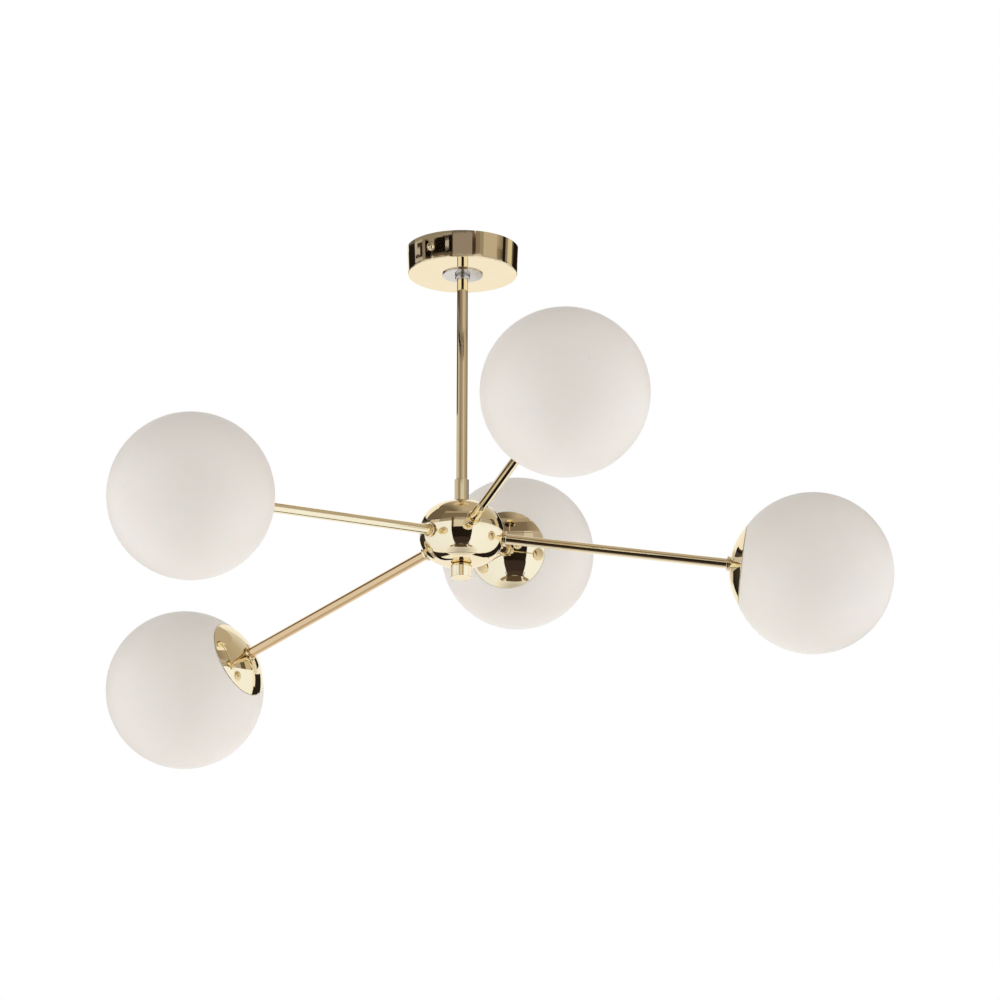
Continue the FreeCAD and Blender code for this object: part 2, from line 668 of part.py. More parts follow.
# Lampholders: ceramic inserts with a slot for each pin of the lamp
for arm in ARMS:
    ceramic = rod(f"ceramic_{arm}", f"{CUP_BORE} - seat_gap", f"{CERAMIC_FACE} - {CERAMIC_BACK}",
                  base=CERAMIC_BACK)
    slots = []
    for side, sign in (("one", "-"), ("two", "")):
        slots.append(block(
            f"pin_slot_{arm}_{side}", "pin_thick + 2 * pin_play", "pin_width + 2 * pin_play",
            "pin_length + pin_play + cut_overrun", f"{sign}pin_spacing / 2",
            base=f"{CERAMIC_FACE} - pin_length - pin_play"))
    holder = cut(f"ceramic_cut_{arm}", ceramic, joined(f"pin_slots_{arm}", slots))
    keep(along_arm(holder, arm), f"lampholder_{arm}")

# Lamps: capsule lamps with two wire-loop pins and a domed tip
LAMP_BASE = f"({CERAMIC_FACE} + seat_gap)"
LAMP_RADIUS = "(lamp_dia / 2)"
for arm in ARMS:
    capsule = turned(f"capsule_{arm}", [
        ("0", LAMP_BASE),
        ("lamp_base_dia / 2", LAMP_BASE),
        ("lamp_base_dia / 2", f"{LAMP_BASE} + lamp_base_length"),
        (LAMP_RADIUS, f"{LAMP_BASE} + lamp_base_length"),
        (LAMP_RADIUS, f"{LAMP_BASE} + lamp_length - {LAMP_RADIUS}"),
        ("0", f"{LAMP_BASE} + lamp_length", "0"),
    ])
    pins = []
    for side, sign in (("one", "-"), ("two", "")):
        pins.append(block(
            f"pin_{arm}_{side}", "pin_thick", "pin_width",
            "pin_length + seat_gap + lamp_base_length / 2", f"{sign}pin_spacing / 2",
            base=f"{CERAMIC_FACE} - pin_length"))
    lamp = joined(f"capsule_lamp_{arm}", [capsule] + pins)
    keep(along_arm(lamp, arm), f"lamp_{arm}")

# Arm leads: two insulated wires in every tube, from the junction to the lampholder
LEAD_START = "(junction_dia / 2 + arm_lead_dia)"
arm_leads = []
for arm in ARMS:
    for side, sign in (("live", "-"), ("neutral", "")):
        wire = rod(f"arm_{arm}_{side}", "arm_lead_dia / 2", f"{CERAMIC_BACK} - {LEAD_START}",
                   "0", f"{sign}lead_spacing / 2", base=LEAD_START)
        arm_leads.append(along_arm(group(f"arm_{arm}_{side}_lead", [wire]), arm))
keep(group("arm_lead_set", arm_leads), "arm_leads")

# Terminal block: three poles under the ceiling plate, where the supply cable is connected
BLOCK_BASE = f"({PLATE_UNDER} - block_height)"
LEAD_LEVEL = f"({PLATE_UNDER} - block_height / 2)"
block_body = block("block_body", "block_length", "block_width", "block_height", "0",
                   "block_offset", BLOCK_BASE)
poles = []
for name, across in (("live", "-pole_spacing"), ("neutral", "0"), ("earth", "pole_spacing")):
    pole = rod(f"pole_{name}", "pole_bore / 2", "block_width + 2 * cut_overrun")
    pole.Placement.Rotation = FreeCAD.Rotation(FreeCAD.Vector(1, 0, 0), -90)
    poles.append(place(pole, across, "block_offset - block_width / 2 - cut_overrun", LEAD_LEVEL))
keep(cut("block_cut", block_body, joined("block_poles", poles)), "terminal_block")

# Earth screw: a screw and washer in the ceiling plate
earth_washer = ring("earth_washer", "earth_screw_dia / 2 + thread_gap", "earth_washer_dia / 2",
                    f"{PLATE_UNDER} - earth_washer_thick", PLATE_UNDER)
EARTH_SEAT = f"({PLATE_UNDER} - earth_washer_thick)"
earth_bolt = turned("earth_bolt", [
    ("0", f"{EARTH_SEAT} - earth_head_height"),
    ("earth_head_dia / 2", f"{EARTH_SEAT} - earth_head_height"),
    ("earth_head_dia / 2", EARTH_SEAT),
    ("earth_screw_dia / 2", EARTH_SEAT),
    ("earth_screw_dia / 2", "-seat_gap"),
    ("0", "-seat_gap"),
])
for piece in (earth_washer, earth_bolt):
    place(piece, "earth_offset", "-earth_offset", "0")
keep(group("earth_set", [earth_washer, earth_bolt]), "earth_screw")

# Stem leads: live and neutral from the terminal block down the stem to the junction, and a
# short earth lead to the earth screw
POLE_MOUTH = "(block_offset - block_width / 2)"


def spot(across, back, height):
    """A point of a lead's route, from three expressions."""
    return FreeCAD.Vector(value(across), value(back), value(height))


def down_stem(pole, side):
    """The route of a lead from a pole of the block to one side of the junction."""
    inside = f"({side} * lead_spacing / 2)"
    outside = f"({side} * (junction_dia + junction_bore) / 4)"
    exit_level = f"({HUB_Z} + {WINDOW_LOW} + window_height / 2)"
    return [
        spot(pole, f"{POLE_MOUTH} + block_width / 4", LEAD_LEVEL),
        spot(pole, f"{POLE_MOUTH} / 2", LEAD_LEVEL),
        spot(inside, "0", LEAD_LEVEL),
        spot(inside, "0", exit_level),
        spot(outside, "0", exit_level),
        spot(outside, "0", f"{HUB_Z} + junction_height / 2"),
    ]


live = lead("live_lead", down_stem("-pole_spacing", "-1"), "lead_dia")
neutral = lead("neutral_lead", down_stem("0", "1"), "lead_dia")
EARTH_END = "(earth_offset - earth_washer_dia / 2)"
earth = lead("earth_lead", [
    spot("pole_spacing", f"{POLE_MOUTH} + block_width / 4", LEAD_LEVEL),
    spot("pole_spacing", f"{POLE_MOUTH} * 2 / 3", LEAD_LEVEL),
    spot("earth_offset * 3 / 4", "0", LEAD_LEVEL),
    spot(EARTH_END, f"-{EARTH_END} + lead_dia / 2", f"{EARTH_SEAT} - lead_dia / 2"),
], "lead_dia")
keep(group("lead_set", [live, neutral, earth]), "stem_leads")

doc.recompute()
for item in doc.Objects:
    if "Invalid" in item.State or "Error" in item.State:
        raise RuntimeError(f"{item.Label} failed: {item.State}")
for piece in PARTS:
    if piece.Shape.isNull() or not piece.Shape.isValid() or not piece.Shape.Solids:
        raise RuntimeError(f"{piece.Label} has no valid shape")

os.makedirs("parts", exist_ok=True)
for piece in PARTS:
    piece.Shape.exportStep(f"parts/{piece.Label}.step")
print(len(PARTS), "parts")
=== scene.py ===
import math

import bpy
from mathutils import Matrix, Vector


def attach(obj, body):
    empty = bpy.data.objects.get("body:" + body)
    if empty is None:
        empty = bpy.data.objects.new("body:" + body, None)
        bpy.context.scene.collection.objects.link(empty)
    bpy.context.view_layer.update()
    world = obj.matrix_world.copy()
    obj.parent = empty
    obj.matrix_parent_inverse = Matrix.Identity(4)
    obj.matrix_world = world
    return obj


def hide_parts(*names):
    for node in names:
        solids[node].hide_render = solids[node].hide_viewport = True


# Ceiling light: five opal glass globes on straight brass arms round one hub.
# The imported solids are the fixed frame. Most keep their shape here and get their finish, and the
# pieces whose edges or slots catch the light are made again at the same size.
# Lengths are millimetres until a mesh is made, in the frame of the solids: the ceiling is at
# height 0 and the photograph's camera is on the -Y side.
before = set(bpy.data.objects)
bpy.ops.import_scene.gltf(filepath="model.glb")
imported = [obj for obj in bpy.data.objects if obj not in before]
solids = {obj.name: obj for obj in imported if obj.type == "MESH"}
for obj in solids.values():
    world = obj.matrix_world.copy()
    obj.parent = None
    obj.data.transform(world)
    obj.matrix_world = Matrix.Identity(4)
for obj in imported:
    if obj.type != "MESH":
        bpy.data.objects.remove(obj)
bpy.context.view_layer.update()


# Ceiling plate: a pressed steel disc with two bent tabs, zinc plated, screwed to the ceiling.
# Zinc comes out of the bath with a fine blue-grey crystal pattern that scatters the light, so
# the plate looks brushed where the brass looks wet.
def linear(colour):
    """A colour written as sRGB hex, as the linear values that a shader takes."""
    parts = [int(colour[i : i + 2], 16) / 255 for i in (1, 3, 5)]
    return [c / 12.92 if c <= 0.04045 else ((c + 0.055) / 1.055) ** 2.4 for c in parts] + [1.0]


def add(tree, kind, settings=None, links=None):
    """Add a node to a tree, give it its settings and values, and link sockets into it."""
    made = tree.nodes.new("ShaderNode" + kind)
    for name, value in (settings or {}).items():
        if isinstance(name, str) and hasattr(made, name):
            setattr(made, name, value)
        else:
            made.inputs[name].default_value = value
    for name, source in (links or {}).items():
        tree.links.new(source, made.inputs[name])
    return made


def new_material(name):
    """An empty material, its tree and the output that its shader goes to."""
    material = bpy.data.materials.new(name)
    material.use_nodes = True
    tree = material.node_tree
    tree.nodes.clear()
    return material, tree, add(tree, "OutputMaterial")


def grain(millimetres):
    """The scale of a pattern whose grains or waves are this wide."""
    return 1000 / millimetres


def finish(name, material):
    """Give a solid of the frame its material."""
    mesh = solids[name].data
    mesh.materials.clear()
    mesh.materials.append(material)


zinc_plate, tree, output = new_material("zinc_plated_steel")
place = add(tree, "TexCoord").outputs["Object"]
# crystals of 1.5 mm, drawn coarser than the real ones of 0.1 mm so that they show
crystals = add(tree, "TexVoronoi", {"Scale": grain(1.54)}, {"Vector": place})
tone = add(tree, "ValToRGB", links={"Fac": crystals.outputs["Color"]})
tone.color_ramp.elements[0].color = linear("#B9BDC0")
tone.color_ramp.elements[1].color = linear("#D6D8D8")
haze = add(tree, "MapRange", {"To Min": 0.28, "To Max": 0.42}, {"Value": crystals.outputs["Color"]})
steel = add(tree, "BsdfPrincipled", {"Metallic": 1.0},
            {"Base Color": tone.outputs["Color"], "Roughness": haze.outputs["Result"]})
tree.links.new(steel.outputs["BSDF"], output.inputs["Surface"])
finish("ceiling_plate", zinc_plate)

# Earth screw: an M4 pan-head steel screw and washer in the plate, zinc plated like it.
finish("earth_screw", zinc_plate)

# Terminal block: three brass poles in a moulded nylon housing, screwed under the plate.
# Nylon is milky and slightly glossy, and the mould leaves a fine grain of about 0.5 mm.
nylon, tree, output = new_material("moulded_nylon")
place = add(tree, "TexCoord").outputs["Object"]
spark = add(tree, "TexNoise", {"Scale": grain(0.5), "Detail": 2}, {"Vector": place})
skin = add(tree, "Bump", {"Strength": 0.3, "Distance": 0.00002}, {"Height": spark.outputs["Fac"]})
moulding = add(tree, "BsdfPrincipled",
               {"Base Color": linear("#E6E4DC"), "Roughness": 0.42, "IOR": 1.53,
                "Subsurface Weight": 0.15, "Subsurface Scale": 0.002},
               {"Normal": skin.outputs["Normal"]})
tree.links.new(moulding.outputs["BSDF"], output.inputs["Surface"])
finish("terminal_block", nylon)
finish("hub_junction", nylon)

# Stem leads: live, neutral and earth wires with coloured PVC insulation, from the terminal
# block. The first two go down the stem to the hub and the third ends under the earth screw.
# The colour follows the wire's place: left of the middle brown, and right of it blue in the
# stem and green beside the block.
EARTH_SIDE = 0.0027
BLOCK_LEVEL = -0.1
wire_sleeve, tree, output = new_material("pvc_insulation")
place = add(tree, "TexCoord").outputs["Object"]
sides = add(tree, "SeparateXYZ", links={"Vector": place})
is_right = add(tree, "Math", {"operation": "GREATER_THAN", 1: 0.0}, {0: sides.outputs["X"]})
is_far = add(tree, "Math", {"operation": "GREATER_THAN", 1: EARTH_SIDE}, {0: sides.outputs["X"]})
is_high = add(tree, "Math", {"operation": "GREATER_THAN", 1: BLOCK_LEVEL}, {0: sides.outputs["Z"]})
is_earth = add(tree, "Math", {"operation": "MULTIPLY"}, {0: is_far.outputs[0], 1: is_high.outputs[0]})
live_or_neutral = add(tree, "Mix", {"data_type": "RGBA", 6: linear("#5B3A26"), 7: linear("#2C62A8")},
                      {0: is_right.outputs[0]})
by_wire = add(tree, "Mix", {"data_type": "RGBA", 7: linear("#5F9A3C")},
              {0: is_earth.outputs[0], 6: live_or_neutral.outputs[2]})
insulation = add(tree, "BsdfPrincipled", {"Roughness": 0.38, "IOR": 1.53},
                 {"Base Color": by_wire.outputs[2]})
tree.links.new(insulation.outputs["BSDF"], output.inputs["Surface"])
finish("stem_leads", wire_sleeve)
finish("arm_leads", wire_sleeve)

# Canopy: a cup spun from brass sheet, polished to a mirror and plated pale gold.
# Spinning and buffing leave the face a little wavy over 10 to 20 mm, so edges of reflections
# wander, and the buffing wheel leaves a faint haze in patches.
# Its flat face is a hair lower towards the camera, which only its reflections tell.
PALE_GOLD = "#F4E3BC #F2DFB2"
LOOKS_DOWN = -0.9


def brass(name, tones=PALE_GOLD, dull=0.02, duller=0.07, lean=0.0):
    """Polished and gold-plated brass. A lean is the slope, towards the camera, of a face that looks
    straight down."""
    material, tree, output = new_material(name)
    place = add(tree, "TexCoord").outputs["Object"]
    wave = add(tree, "TexNoise", {"Scale": grain(14.286), "Detail": 1}, {"Vector": place})
    wheel = add(tree, "TexNoise", {"Scale": grain(1.11), "Detail": 3}, {"Vector": place})
    haze = add(tree, "MapRange", {"From Min": 0.3, "From Max": 0.8, "To Min": dull, "To Max": duller},
               {"Value": wheel.outputs["Fac"]})
    light, deep = tones.split()
    plate_tone = add(tree, "Mix", {"data_type": "RGBA", 6: linear(light), 7: linear(deep)},
                     {0: wave.outputs["Fac"]})
    buffed = add(tree, "Bump", {"Strength": 1.0, "Distance": 0.00001}, {"Height": wave.outputs["Fac"]})
    gold = add(tree, "BsdfPrincipled", {"Metallic": 1.0},
               {"Base Color": plate_tone.outputs[2], "Roughness": haze.outputs["Result"],
                "Normal": buffed.outputs["Normal"]})
    if lean:
        forward = add(tree, "VectorMath", {"operation": "DOT_PRODUCT", 1: (0.0, -1.0, 0.0)}, {0: place})
        surface = add(tree, "NewGeometry")
        facing = add(tree, "SeparateXYZ", links={"Vector": surface.outputs["True Normal"]})
        is_level = add(tree, "Math", {"operation": "LESS_THAN", 1: LOOKS_DOWN}, {0: facing.outputs["Z"]})
        slope = add(tree, "Math", {"operation": "MULTIPLY", 1: lean}, {0: is_level.outputs[0]})
        leaning = add(tree, "Bump", {"Strength": 1.0},
                      {"Height": forward.outputs["Value"], "Distance": slope.outputs[0],
                       "Normal": buffed.outputs["Normal"]})
        tree.links.new(leaning.outputs["Normal"], gold.inputs["Normal"])
    tree.links.new(gold.outputs["BSDF"], output.inputs["Surface"])
    return material


polished_brass = brass("polished_gold_plated_brass")
finish("canopy", brass("spun_gold_plated_brass", dull=0.01, duller=0.04, lean=0.04))


# Side screws: two M4 brass screws with slotted round heads, polished and plated with the
# canopy, through its wall into the tabs of the plate.
def at_angle(azimuth, rise=0.0, height=0.0):
    """The frame whose Z axis points along an azimuth and a rise, from a height on the stem."""
    turn = Matrix.Rotation(math.radians(azimuth), 4, "Z")
    tilt = Matrix.Rotation(math.radians(90 - rise), 4, "Y")
    return Matrix.Translation((0, 0, height / 1000)) @ turn @ tilt


ARC_STEPS = 4
LEAD_SHARE = 0.3


def rounded(outline):
    """Corners of (radius, height, rounding) as points, with an arc at each rounded corner. A point
    a little before and after each arc keeps the flats beside it flat in the shading."""
    points = []
    count = len(outline)
    for i, corner in enumerate(outline):
        here = Vector(corner[:2])
        rounding = corner[2] if len(corner) > 2 else 0
        if not rounding:
            points.append(here)
            continue
        before = Vector(outline[i - 1][:2]) - here
        after = Vector(outline[(i + 1) % count][:2]) - here
        reach = rounding / math.tan(before.angle(after) / 2)
        inward = (before.normalized() + after.normalized()).normalized()
        centre = here + inward * math.hypot(rounding, reach)
        first = here + before.normalized() * reach - centre
        last = here + after.normalized() * reach - centre
        points.append(centre + first + before.normalized() * rounding * LEAD_SHARE)
        for step in range(ARC_STEPS + 1):
            points.append(centre + first.slerp(last, step / ARC_STEPS) * rounding)
        points.append(centre + last + after.normalized() * rounding * LEAD_SHARE)
    return points


def turned(name, outline, material, place=Matrix(), segments=96):
    """A piece turned on a lathe: an outline in millimetres, spun round the Z axis of its place."""
    points = rounded(outline)
    count = len(points)
    vertices, rows = [], []
    for point in points:
        if abs(point.x) < 1e-6:
            rows.append([len(vertices)] * segments)
            vertices.append((0, 0, point.y / 1000))
            continue
        rows.append(range(len(vertices), len(vertices) + segments))
        for step in range(segments):
            angle = 2 * math.pi * step / segments
            vertices.append((point.x / 1000 * math.cos(angle), point.x / 1000 * math.sin(angle),
                             point.y / 1000))
    faces = []
    for i in range(count):
        low, high = rows[i], rows[(i + 1) % count]
        for step in range(segments):
            following = (step + 1) % segments
            corners = [low[step], low[following], high[following], high[step]]
            corners = list(dict.fromkeys(corners))
            if len(corners) > 2:
                faces.append(corners)
    mesh = bpy.data.meshes.new(name)
    mesh.from_pydata(vertices, [], faces)
    mesh.materials.append(material)
    mesh.shade_smooth()
    piece = bpy.data.objects.new(name, mesh)
    bpy.context.scene.collection.objects.link(piece)
    piece.matrix_world = place
    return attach(piece, "frame")


def sawn(piece, width, depth, top):
    """Cut a screwdriver slot across the top of a turned head, with a saw that stands out above."""
    length, above = 30, 2
    bpy.ops.mesh.primitive_cube_add(size=1)
    saw = bpy.context.object
    middle = top + (above - depth) / 2
    saw.matrix_world = (piece.matrix_world @ Matrix.Translation((0, 0, middle / 1000))
                        @ Matrix.Diagonal((length / 1000, width / 1000, (depth + above) / 1000, 1)))
    notch = piece.modifiers.new("slot", "BOOLEAN")
    notch.operation = "DIFFERENCE"
    notch.object = saw
    bpy.context.view_layer.update()
    evaluated = piece.evaluated_get(bpy.context.evaluated_depsgraph_get())
    cut_mesh = bpy.data.meshes.new_from_object(evaluated)
    piece.modifiers.clear()
    piece.data = cut_mesh
    bpy.data.objects.remove(saw)


SCREW_HEIGHT = -12.5
SCREW_RADIUS = 2.0
SCREW_END = 42.7
SCREW_POINT = 0.3
HEAD_SEAT = 50.7
HEAD_RADIUS = 3.75
HEAD_HEIGHT = 3.2
for azimuth, side in ((55.7, "back"), (235.7, "front")):
    shank = [(0, SCREW_END), (SCREW_RADIUS - SCREW_POINT, SCREW_END),
             (SCREW_RADIUS, SCREW_END + SCREW_POINT), (SCREW_RADIUS, HEAD_SEAT)]
    dome = [(HEAD_RADIUS * math.sin(math.radians(a)), HEAD_SEAT + HEAD_HEIGHT * math.cos(math.radians(a)))
            for a in range(88, -1, -8)]
    screw = turned(f"side_screw_{side}", shank + [(HEAD_RADIUS, HEAD_SEAT, 0.2)] + dome,
                   polished_brass, at_angle(azimuth, height=SCREW_HEIGHT), segments=48)
    sawn(screw, width=0.9, depth=1.2, top=HEAD_SEAT + HEAD_HEIGHT)
    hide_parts("canopy_side_screws")

# Washer and ring nut under the canopy: turned steel, chrome plated, screwed up the stem tube
# against the canopy. Chrome is colder and darker than the gold, with a hard clean mirror.
chrome, tree, output = new_material("chrome_plated_steel")
place = add(tree, "TexCoord").outputs["Object"]
wipe = add(tree, "TexNoise", {"Scale": grain(2), "Detail": 3}, {"Vector": place})
haze = add(tree, "MapRange", {"From Min": 0.3, "From Max": 0.8, "To Min": 0.08, "To Max": 0.18},
           {"Value": wipe.outputs["Fac"]})
mirror = add(tree, "BsdfPrincipled", {"Metallic": 1.0, "Base Color": linear("#D3CDC5")},
             {"Roughness": haze.outputs["Result"]})
tree.links.new(mirror.outputs["BSDF"], output.inputs["Surface"])
STEM_BORE = 5.1
CANOPY_FACE = -25
WASHER_FACE = -26.2
WASHER_RADIUS = 18.5
RING_NUT_FACE = -29.7
RING_NUT_RADIUS = 6.95
washer = turned("canopy_washer_turned",
                [(STEM_BORE, CANOPY_FACE), (STEM_BORE, WASHER_FACE, 0.2),
                 (WASHER_RADIUS, WASHER_FACE, 0.35), (WASHER_RADIUS, CANOPY_FACE)], chrome)
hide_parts("canopy_washer")
ring_nut = turned("stem_ring_nut_turned",
                  [(STEM_BORE, WASHER_FACE), (STEM_BORE, RING_NUT_FACE),
                   (RING_NUT_RADIUS, RING_NUT_FACE, 0.6), (RING_NUT_RADIUS, WASHER_FACE)], chrome)
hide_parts("stem_ring_nut")

# Hexagon nuts and the spindle: steel with a zinc plate, inside the canopy and the hub. They
# clamp the canopy on the stem, the hub on the sleeve and the arms in the hub.
for name in ("stem_lock_nut", "hub_lock_nut", "arm_hex_nuts", "hub_spindle"):
    finish(name, zinc_plate)

# Stem: a drawn brass tube, polished lengthways and plated, threaded into the sleeve below.
finish("stem_tube", polished_brass)

# Coupling sleeve: turned from brass bar and polished, screwed on the end of the stem. Its two
# end faces have their edges broken by a file.
SLEEVE_RADIUS = 6.5
SLEEVE_FOOT = -244.45
SLEEVE_TOP = -221.45
sleeve = turned("coupling_sleeve_turned",
                [(STEM_BORE, SLEEVE_FOOT), (SLEEVE_RADIUS, SLEEVE_FOOT, 0.2),
                 (SLEEVE_RADIUS, SLEEVE_TOP, 0.5), (STEM_BORE, SLEEVE_TOP, 0.15)], polished_brass)
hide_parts("coupling_sleeve")

# Hub: a hollow shell turned from brass and a dished cover under it, which meet at a fine seam on
# the underside. They were polished together and plated.
finish("hub_body", polished_brass)
finish("hub_cover", polished_brass)

# Finial: a blind nut turned from brass bar, with a round shoulder where it meets the hub. It
# screws on the spindle and holds the cover.
HUB_Z = -272.7
FINIAL_TOP = -28.25
FINIAL_FOOT = -40.75
FINIAL_BORE_END = -37.0
FINIAL_RADIUS = 9.6
FINIAL_FOOT_RADIUS = 9.35
FINIAL_SHOULDER = 2.6
finial = turned("finial_turned",
                [(0, FINIAL_FOOT), (FINIAL_FOOT_RADIUS, FINIAL_FOOT, 0.3),
                 (FINIAL_RADIUS, FINIAL_TOP, FINIAL_SHOULDER), (STEM_BORE, FINIAL_TOP),
                 (STEM_BORE, FINIAL_BORE_END), (0, FINIAL_BORE_END)],
                polished_brass, Matrix.Translation((0, 0, HUB_Z / 1000)))
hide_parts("finial")

# Arm tubes: drawn brass tube, polished lengthways and plated, threaded at both ends. One of them has a
# deeper, darker gold painted into its colour: a painted reflection of the warm, dim tone that it mirrors.
ARMS = {1: (357.5, -7.2), 2: (80.4, 13.4), 3: (148.1, -18.8), 4: (222.9, -5.7), 5: (286.5, 6.2)}
for arm in ARMS:
    finish(f"arm_tube_{arm}", polished_brass)
# arm 3's darker gold is painted reflection, a shaded copy of the same brass, not another plating
finish("arm_tube_3", brass("brass_with_painted_reflection", "#DEBE8E #DCBA88"))

# Ring nuts: turned brass rings on both ends of each tube, outside the hub and the caps. The
# lathe leaves a small round on their outer edges.
HUB_FACE = 38.45
CAP_APEX = 242.65
RING_BORE = 4.6
RING_RADIUS = 6.75
RING_LENGTH = 2.2
RING_EDGE = 0.35
for arm, (azimuth, rise) in ARMS.items():
    for end, start in (("hub", HUB_FACE), ("cap", CAP_APEX - RING_LENGTH)):
        stop = start + RING_LENGTH
        ring = turned(f"ring_nut_{arm}_{end}",
                      [(RING_BORE, start), (RING_RADIUS, start, RING_EDGE),
                       (RING_RADIUS, stop, RING_EDGE), (RING_BORE, stop)],
                      polished_brass, at_angle(azimuth, rise, HUB_Z), segments=64)
        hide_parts("arm_ring_nuts")

# Dome caps: shallow domes spun from brass sheet over a former, trimmed and rolled smooth at the
# rim, polished and plated. The holder cup inside clamps each one against its ring nut.
CAP_CURVE = 60.8
CAP_WALL = 1.0
CAP_CENTRE = CAP_APEX + CAP_CURVE
CAP_RIM = 255.05
CAP_RADIUS = 36.8
RIM_WALL = 1.05
HOLE_ANGLE = 4.4
RIM_ANGLE = 36.9


def arc(curve, start, stop, steps):
    """Points on the arc of a dome about its centre, between two angles from the axis."""
    angles = [math.radians(start + (stop - start) * i / steps) for i in range(steps + 1)]
    return [(curve * math.sin(a), CAP_CENTRE - curve * math.cos(a)) for a in angles]


outside = arc(CAP_CURVE, HOLE_ANGLE, RIM_ANGLE, 40)
inside = arc(CAP_CURVE - CAP_WALL, RIM_ANGLE - 0.9, HOLE_ANGLE + 0.2, 24)
rim = [(CAP_RADIUS, CAP_RIM, 0.3), (CAP_RADIUS - RIM_WALL, CAP_RIM, 0.3)]
for arm, (azimuth, rise) in ARMS.items():
    cap = turned(f"dome_cap_{arm}_spun", outside[:-1] + rim + inside[1:], polished_brass,
                 at_angle(azimuth, rise, HUB_Z), segments=160)
    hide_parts(f"dome_cap_{arm}")

# Shade collars: threaded brass rings brazed inside the caps, which take the glass necks.
for arm in ARMS:
    finish(f"shade_collar_{arm}", polished_brass)

# Gaskets: silicone washers, punched from milky sheet, between the glass and the collars.
silicone, tree, output = new_material("silicone_rubber")
place = add(tree, "TexCoord").outputs["Object"]
bloom = add(tree, "TexNoise", {"Scale": grain(2.5), "Detail": 2}, {"Vector": place})
matte = add(tree, "MapRange", {"To Min": 0.45, "To Max": 0.65}, {"Value": bloom.outputs["Fac"]})
rubber = add(tree, "BsdfPrincipled",
             {"Base Color": linear("#DEDCD4"), "IOR": 1.41, "Subsurface Weight": 0.3,
              "Subsurface Scale": 0.002}, {"Roughness": matte.outputs["Result"]})
tree.links.new(rubber.outputs["BSDF"], output.inputs["Surface"])
for arm in ARMS:
    finish(f"gasket_{arm}", silicone)

# Holder cups: deep-drawn steel cups, zinc plated, screwed on the tubes inside the caps.
for arm in ARMS:
    finish(f"holder_cup_{arm}", zinc_plate)

# Lampholders: pressed and fired steatite, unglazed, with a slot for each pin of the lamp.
# Steatite is warm white and dull, with a fine dark speck here and there.
steatite, tree, output = new_material("fired_steatite")
place = add(tree, "TexCoord").outputs["Object"]
specks = add(tree, "TexNoise", {"Scale": grain(0.667), "Detail": 4}, {"Vector": place})
body_tone = add(tree, "ValToRGB", links={"Fac": specks.outputs["Fac"]})
body_tone.color_ramp.elements[0].position = 0.28
body_tone.color_ramp.elements[0].color = linear("#C9C2B4")
body_tone.color_ramp.elements[1].position = 0.4
body_tone.color_ramp.elements[1].color = linear("#E7E2D7")
fired = add(tree, "BsdfPrincipled", {"Roughness": 0.62, "IOR": 1.58},
            {"Base Color": body_tone.outputs["Color"]})
tree.links.new(fired.outputs["BSDF"], output.inputs["Surface"])
for arm in ARMS:
    finish(f"lampholder_{arm}", steatite)

# Lamps: capsule lamps with a frosted cover on a moulded base, and two wire pins.
lamp_cover, tree, output = new_material("frosted_polycarbonate")
place = add(tree, "TexCoord").outputs["Object"]
frost = add(tree, "TexNoise", {"Scale": grain(0.556), "Detail": 2}, {"Vector": place})
etched = add(tree, "Bump", {"Strength": 0.2, "Distance": 0.00002}, {"Height": frost.outputs["Fac"]})
cover = add(tree, "BsdfPrincipled",
            {"Base Color": linear("#EFEDE6"), "Roughness": 0.35, "IOR": 1.58,
             "Subsurface Weight": 0.2, "Subsurface Scale": 0.003},
            {"Normal": etched.outputs["Normal"]})
tree.links.new(cover.outputs["BSDF"], output.inputs["Surface"])
for arm in ARMS:
    finish(f"lamp_{arm}", lamp_cover)

# Globes: opal glass blown into a mould and acid etched to a satin skin, with a ground shoulder
# and neck that screw into the cap. The etch leaves a soft broad sheen with no sharp highlight,
# and the opal layer a barely uneven milkiness.
opal_glass, tree, output = new_material("satin_opal_glass")
place = add(tree, "TexCoord").outputs["Object"]
milk = add(tree, "TexNoise", {"Scale": grain(45.5), "Detail": 2}, {"Vector": place})
body_tone = add(tree, "Mix", {"data_type": "RGBA", 6: linear("#F0E8E1"), 7: linear("#ECE3DB")},
                {0: milk.outputs["Fac"]})
etch = add(tree, "TexNoise", {"Scale": grain(0.625), "Detail": 2}, {"Vector": place})
satin = add(tree, "Bump", {"Strength": 0.15, "Distance": 0.00002}, {"Height": etch.outputs["Fac"]})
glass = add(tree, "BsdfPrincipled",
            {"Roughness": 0.5, "IOR": 1.5, "Subsurface Weight": 0.25, "Subsurface Scale": 0.006},
            {"Base Color": body_tone.outputs[2], "Normal": satin.outputs["Normal"]})
tree.links.new(glass.outputs["BSDF"], output.inputs["Surface"])
for arm in ARMS:
    finish(f"globe_{arm}", opal_glass)


# Studio walls: softboxes and dark flags that only reflections see. They stand on a circle round
# the light, from one azimuth to another, where azimuth 0 is towards the camera and grows towards
# its right. Heights are in metres, and a second colour is that of the right-hand end.
CIRCLE = 1.1
FARTHEST_BACK = 150
PANEL_STEP = 4
panel_glow, tree, output = new_material("studio_panel")
tint = add(tree, "Attribute", {"attribute_name": "glow"})
glow = add(tree, "Emission", links={"Color": tint.outputs["Color"]})
tree.links.new(glow.outputs["Emission"], output.inputs["Surface"])


def for_reflections(piece):
    """Hide a piece of the studio from all but reflections."""
    for ray in ("camera", "diffuse", "transmission", "shadow", "volume_scatter"):
        setattr(piece, f"visible_{ray}", False)


